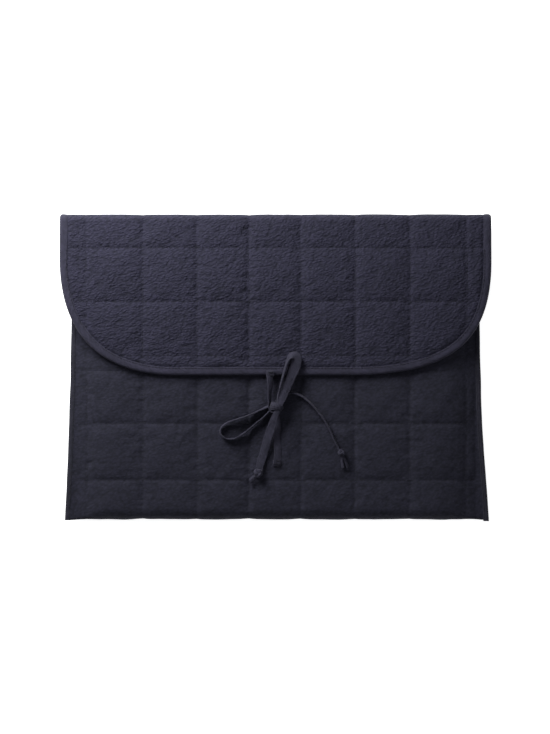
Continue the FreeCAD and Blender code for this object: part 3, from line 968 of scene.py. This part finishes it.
def edge_distance(x, y):
    """Return the distance from points to the flap's side and lower edges."""
    edge = flap_edge(FOLD_ROW)[::6]
    away = np.full(np.shape(x), 1e9)
    low = np.asarray(y) < 95
    if np.any(low):
        px, py = np.asarray(x)[low], np.asarray(y)[low]
        best = np.full(px.shape, 1e9)
        for point in edge:
            best = np.minimum(best, (px - point[0]) ** 2 + (py - point[1]) ** 2)
        away[low] = np.sqrt(best)
    return np.minimum(away, FLAP_HALF - np.abs(x))


def binding_dip(away):
    """Return how far the cloth is drawn down beside the binding's sewing."""
    return 0.5 * np.exp(-((away - 6.8) / 0.9) ** 2)


def flap_height(x, y):
    """Return the flap cloth's height over its flat place, pressed down at the binding."""
    away = edge_distance(x, y)
    return quilt(x, y, FLAP_ROWS, 300) * rise_inside(away) - binding_dip(away)


FLAP_COLUMNS = 464         # the flap's cotton and the folds' cotton meet point to point
FLAP_TOP = 24.1


def flap_cloth():
    """Make the flap's outer cloth up to its first row of quilting."""
    plan = flap_grid(FOLD_ROW, 1.8, 0.75, 4)
    x, y = plan[..., 0], plan[..., 1]
    z = FLAP_TOP - flap_droop(x, y)
    height = flap_height(x, y)
    outer = np.stack([x, y, z + height], 2)
    inner = np.stack([x, y, z - OUTER + height * 0.8], 2)
    cloth = shell("flap_face", outer, inner, 4, flat_place(x, y), CRINKLE)
    dress(cloth, "flap", "flap_outer")


def flap_layer(name, near, far, step, every, node, material):
    """Make a layer under the flap's cloth between two depths."""
    plan = flap_grid(FOLD_ROW, 1.9, step, every)
    x, y = plan[..., 0], plan[..., 1]
    z = FLAP_TOP - flap_droop(x, y)
    fade = rise_inside(edge_distance(x, y))
    groove = 0 * x
    if far > LINER_DEPTH:
        groove = 0.45 - quilt(x, y, FLAP_ROWS, 600, 0.45, 0.4) * fade
    under = np.stack([x, y, z - far + np.maximum(groove, -0.1) * 0.6 * fade], 2)
    pressed = sewn_thin(x, y, FLAP_ROWS) if near < 1 else 0
    above = np.stack([x, y, z - near - 0.3 - pressed], 2)
    layer = inner_shell(name, under, above, every, flat_place(x, y), material)
    dress(layer, "flap", node)


flap_cloth()
flap_layer("flap_felt", OUTER, FELT_DEPTH, 4.0, 1, "flap_wadding", WADDING)
flap_layer("flap_liner", LINER_DEPTH, PANEL, 1.5, 2, "flap_lining", LINING)


# ---- the two folds ----------------------------------------------------------------------------

SPLIT_Z = 12.5
BACK_HALF = seam_half(FOLD_ROW) - 1.2
BAND_HALF = 174.2          # half the band's width over the mouth, inside its bindings
OUTER_Y = 124.6
LOWER_BEND = dict(a="pouch", b="spine", start=(0, 0.12073, 0.00042), end=(0, 0.12457, 0.00501))
UPPER_BEND = dict(a="spine", b="flap", start=(0, 0.12278, 0.01401), end=(0, 0.11707, 0.02035))


FOLD_LENGTH = 36           # length of the panel from its first row to the band's middle
LEVEL_END, BEND_END = 21.2, 31


def fold_shares(step, every):
    """Return path places from 0 to 3: a level run, a bend and an upright run."""
    count = int(round(37 / step / every)) * every
    stops = [0, LEVEL_END, BEND_END, 37]
    return np.interp(np.linspace(0, 37, count + 1), stops, [0, 1, 2, 3])


def fold_path(q, radius):
    """Return a path's y, how far its bend has moved it in z, and its share of the upright."""
    bend = np.clip(q - 1, 0, 1) * math.pi / 2
    y = FOLD_ROW + np.clip(q, 0, 1) * (OUTER_Y - radius - FOLD_ROW) + radius * np.sin(bend)
    return y, radius * (1 - np.cos(bend)), np.clip(q - 2, 0, 1)


def lower_place(share, q):
    """Return the panel from the back, round the lower fold, up to the split."""
    share, q = np.broadcast_arrays(share, q)
    base = MIDDLE_Z - pouch_half(share * BACK_HALF)
    radius = np.minimum(6.0, SPLIT_Z - 0.3 - base)
    y, moved, rise = fold_path(q, radius)
    z = base + moved + rise * (SPLIT_Z - base - radius)
    width = seam_half(np.minimum(y, 112)) - 1.2
    width = width + (BAND_HALF - width) * ease((q - 0.72) / 1.3)
    return np.stack([share * width, y, z], -1)


def upper_place(share, q):
    """Return the panel from the flap's first row, round the upper fold, to the split."""
    share, q = np.broadcast_arrays(share, q)
    radius = 6.2
    y, moved, rise = fold_path(q, radius)
    x = share * BAND_HALF
    top = FLAP_TOP - flap_droop(x, np.minimum(y, OUTER_Y - radius))
    z = top - moved - rise * (top - radius - SPLIT_Z)
    return np.stack([x, y, z], -1)


def fold_layer(name, place, near, far, step, every, material, node, slot, bend, lower,
               columns=None):
    """Make one layer of the panel round a fold."""
    q = fold_shares(step, every)[:, None]
    columns = columns or int(round(348 / step / every)) * every
    share = np.linspace(-1, 1, columns + 1)[None]
    if lower and slot == "wadding":
        share = share * 0.965  # kept clear of the corners, which open as the fold does
    points = place(share, q)
    normal = grid_normals(points)
    if lower:
        normal = -normal
        press = thin_to_seam(share * BACK_HALF)
        press = press + (1 - press) * ease(q - 1)
    else:
        press = np.ones(points.shape[:2])
    run = np.interp(q, [0, 1, 2, 3], [0, LEVEL_END, BEND_END, FOLD_LENGTH]) + 0 * share
    x = points[..., 0]
    v = FOLD_ROW + (2 * FOLD_LENGTH - run if lower else run)
    away = FLAP_HALF - np.abs(x)
    fade = rise_inside(away)
    if lower:
        fade = rise_inside(BACK_HALF * (1 - np.abs(share)) + 1.2, 7)
    if near == 0:
        dip = 0 if lower else binding_dip(away)
        calm = ease(q - 0.8) * 0.75
        rows = [(FOLD_ROW + 2 * FOLD_LENGTH, 0.85)] if lower else FLAP_ROWS
        height = quilt(x, v, rows, 300) * fade - dip
        height = height * (1 - calm)
        if lower:
            height = height - 1.25 * (1 - ease((q - 1.2) / 1.6)) * fade
        upper = points + normal * height[..., None]
        under = upper - normal * (far * press)[..., None]
    else:
        pressed = sewn_thin(x, v, FLAP_ROWS) if near < 1 else 0
        upper = points - normal * ((near + 0.3 + pressed) * press)[..., None]
        under = points - normal * (far * press)[..., None]
    panel = flat_place(x, v)
    top, low = (upper, under) if near == 0 else (under, upper)
    if (near == 0) != lower:
        top, low, panel = top[:, ::-1], low[:, ::-1], panel[:, ::-1]
    dress(shell(name, top, low, every, panel, material), bend, node)


FOLDS = (("lower", lower_place, LOWER_BEND, True), ("upper", upper_place, UPPER_BEND, False))
for side, place, bend, lower in FOLDS:
    fold_layer("fold_face_" + side, place, 0, OUTER, 0.75, 4, CRINKLE, "spine_outer",
               "crinkle_cotton", bend, lower, FLAP_COLUMNS)
    fold_layer("fold_felt_" + side, place, OUTER, FELT_DEPTH, 3.0, 1, WADDING, "spine_wadding",
               "wadding", bend, lower)
    fold_layer("fold_liner_" + side, place, LINER_DEPTH, PANEL, 1.5, 2, LINING, "spine_lining",
               "lining_cotton", bend, lower)


# ---- bindings ----------------------------------------------------------------------------------

def binding_section(width, half, tape=0.42, count=11):
    """Return a folded tape's section as (inset, height) points, outside then inside."""
    crown = width * 0.5

    def skin(depth):
        angle = np.radians(np.linspace(90, 270, 2 * count + 1))
        across, high = np.cos(angle), np.sin(angle)
        bend = np.stack([
            crown - (crown - depth) * np.abs(across) ** 0.8,
            (half + 0.1 - depth) * squared_off(high, 0.8),
        ], 1)
        run = np.linspace(width, crown + 0.4, count)
        fall = 0.45 * ((run - crown) / (width - crown)) ** 2
        top = np.stack([run, half + 0.1 - depth - fall * (1 if depth == 0 else 0.4)], 1)
        return np.concatenate([top, bend, (top * [1, -1])[::-1]])
    return np.concatenate([skin(0), skin(tape)[::-1]])


def band(name, line, side, up, section, seed, material=None):
    """Sweep a binding along a line; side points inboard and up out of the top face."""
    inset, height = section[:, 0][None], section[:, 1][None]
    outer = np.zeros(len(section))
    outer[: len(section) // 2] = 1
    place = distances(line)[:, None]
    wave = 0.28 * noise(place / 9, 0.5, seed) + 0.16 * noise(place / 3.5, 0.5, seed + 1)
    reach = inset + wave * (inset / inset.max()) ** 2
    pucker = 0.16 * noise((place + 1.4 * inset) / 3.4, inset / 2.6, seed + 2)
    pucker = pucker + 0.10 * noise((place - inset) / 1.9, inset / 2.0, seed + 3)
    lift = (pucker * np.clip(inset / 2, 0.3, 1)) * outer
    rise = height + np.sign(height) * lift
    rings = line[:, None] + side[:, None] * reach[..., None] + up[:, None] * rise[..., None]
    panel = np.stack([place + 0 * inset, inset + 0 * place, height + 0 * place], 2)
    return tubes(name, rings[None], material or BINDING, panel[None], 70)


def sew_binding(name, line, side, up, inset, lift, radius, body, faces=(1, -1), pitch=2.7):
    """Sew a row of stitches along a binding, on one or both of its faces."""
    rows = []
    for face in faces:
        row = line + side * inset + up * face * lift
        along = distances(row)
        places = np.arange(1.0, along[-1] - pitch, pitch)
        rows.append((points_at(places, along, row), points_at(places + pitch * 0.82, along, row),
                     points_at(places, along, up) * face))
    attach(stitches(name, *map(np.concatenate, zip(*rows)), radius), body)


def flap_binding():
    """Make the tape over the flap's free edge, with its stitching."""
    edge = resample(flap_edge(FOLD_ROW), 0.9)[0]
    normal = inward(edge)
    depth = flap_droop(edge[:, 0], edge[:, 1])
    line = np.column_stack([edge, FLAP_TOP - PANEL / 2 - depth])
    tilt = flap_droop(edge[:, 0] - np.sign(edge[:, 0]) * 6, edge[:, 1])
    side = np.column_stack([normal, (depth - tilt) / 6 * np.abs(normal[:, 0])])
    up = np.tile(UP, (len(line), 1))
    tape = band("flap_edge_tape", line, side, up, binding_section(6.5, 2.15), 81)
    dress(tape, "flap", "flap_binding")
    sew_binding("flap_edge_stitches", line, side, up, 5.7, 2.2, 0.19, "flap")


def fold_bindings(sign, side_name):
    """Make the tape round one end of the band over the mouth, across both folds."""
    for part, place, bend, lower in FOLDS[::-1]:
        q = np.linspace(0.62 if lower else 0, 3, 60)
        points = place(np.array(float(sign)), q)
        wide = unit(points - place(np.array(sign * 0.99), q))
        up = unit(np.cross(wide, np.gradient(points, axis=0))) * (-sign if lower else sign)
        if np.mean(up[-5:, 1]) < 0:
            up = -up
        reach = np.interp(q, [0.62, 1.5], [1.6, 1.8])[:, None] if lower else 1.8
        line = points + wide * reach - up * PANEL / 2
        section = binding_section(5.6, 2.15, 1.7) if lower else binding_section(6.5, 2.15)
        name = "fold_tape_" + part + "_" + side_name
        tape = band(name, line, -wide, up, section, 90 + sign)
        dress(tape, bend, "spine_binding_" + side_name)


def side_binding(sign, side_name):
    """Make the tape down one side seam of the pouch."""
    last = -125.2 if sign < 0 else -125.9
    y = np.linspace(111.6, last, 270)
    x = sign * (seam_half(y, sign) + 0.4)
    line = np.column_stack([x, y, np.full(len(y), MIDDLE_Z)])
    line[:, 0] += sign * 0.25 * noise(y / 22, 3, 95 + sign)
    side = np.tile([-sign * 1.0, 0, 0], (len(y), 1))
    up = np.tile(UP, (len(y), 1))
    section = binding_section(4.4, 2.4)
    # The side tape's darker colour is painted shade.
    tape = band("side_tape_" + side_name, line, side, up, section, 85 + sign, BINDING_SHADED)
    dress(tape, "pouch", "side_binding_" + side_name)
    sew_binding("side_stitches_" + side_name, line, side, up, 3.6, 2.42, 0.18, "pouch")


def mouth_binding():
    """Make the tape over the front panel's upper edge."""
    x = np.linspace(-161.5, 161.5, 360)
    press = thin_to_seam(x) * PANEL / 2
    line = np.column_stack([x, np.full(len(x), 112.5), pouch_place(x, MOUTH_ROW)[:, 2] - press])
    side = np.tile([0, -1.0, 0], (len(x), 1))
    up = grid_normals(np.stack([line, line + [0, 1, 0]], 1))[:, 0]
    up *= np.sign(up[:, 2:])
    tape = band("mouth_tape", line, side, up, binding_section(7.5, 2.1), 88)
    dress(tape, "pouch", "mouth_binding")
    sew_binding("mouth_stitches", line, side, up, 6.7, 2.15, 0.19, "pouch", faces=(1,))


flap_binding()
for sign, side_name in ((-1, "left"), (1, "right")):
    fold_bindings(sign, side_name)
    side_binding(sign, side_name)
mouth_binding()


# ---- quilting thread ---------------------------------------------------------------------------

def quilting_thread():
    """Make the running stitches of the quilting on the flap and the pouch's front."""
    def collect(lines, surface, pitch=3.0):
        starts, ends = [], []
        for line in lines:
            along = np.arange(line[2], line[3] - pitch, pitch)
            for shift, bucket in ((0.0, starts), (pitch * 0.74, ends)):
                if line[0] == "x":
                    bucket.append(surface(wander(line[1], along + shift), along + shift))
                else:
                    bucket.append(surface(along + shift, wander(line[1], along + shift)))
        return np.concatenate(starts), np.concatenate(ends)

    def flap_surface(x, y):
        return np.column_stack([x, y, FLAP_TOP - flap_droop(x, y) + flap_height(x, y) + 0.08])

    def front_surface(x, y):
        place = pouch_place(x, y)
        fade = rise_inside(seam_half(y, x) - np.abs(x), 7)
        place[:, 2] += pouch_height(x, y) * fade + 0.08
        return place

    edge = flap_edge(FOLD_ROW)
    lines = []
    for x, _ in COLUMNS:
        away = np.abs(edge[:, 0] - x) + np.where(edge[:, 1] > 90, 99, 0)
        lines.append(("x", x, edge[away.argmin(), 1] + 8, FOLD_ROW - 0.4))
    for y, _ in FLAP_ROWS:
        row = edge[np.abs(edge[:, 1] - y) < 0.6]
        lines.append(("y", y, row[:, 0].min() + 8, row[:, 0].max() - 8))
    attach(stitches("flap_quilting", *collect(lines, flap_surface), UP, 0.17), "flap")
    lines = [("x", x, -99.0, -7.0) for x, _ in COLUMNS]
    lines += [("y", y, 7 - seam_half(y), seam_half(y) - 7) for y in (-46.0, -92.0)]
    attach(stitches("front_quilting", *collect(lines, front_surface), UP, 0.17), "pouch")


quilting_thread()
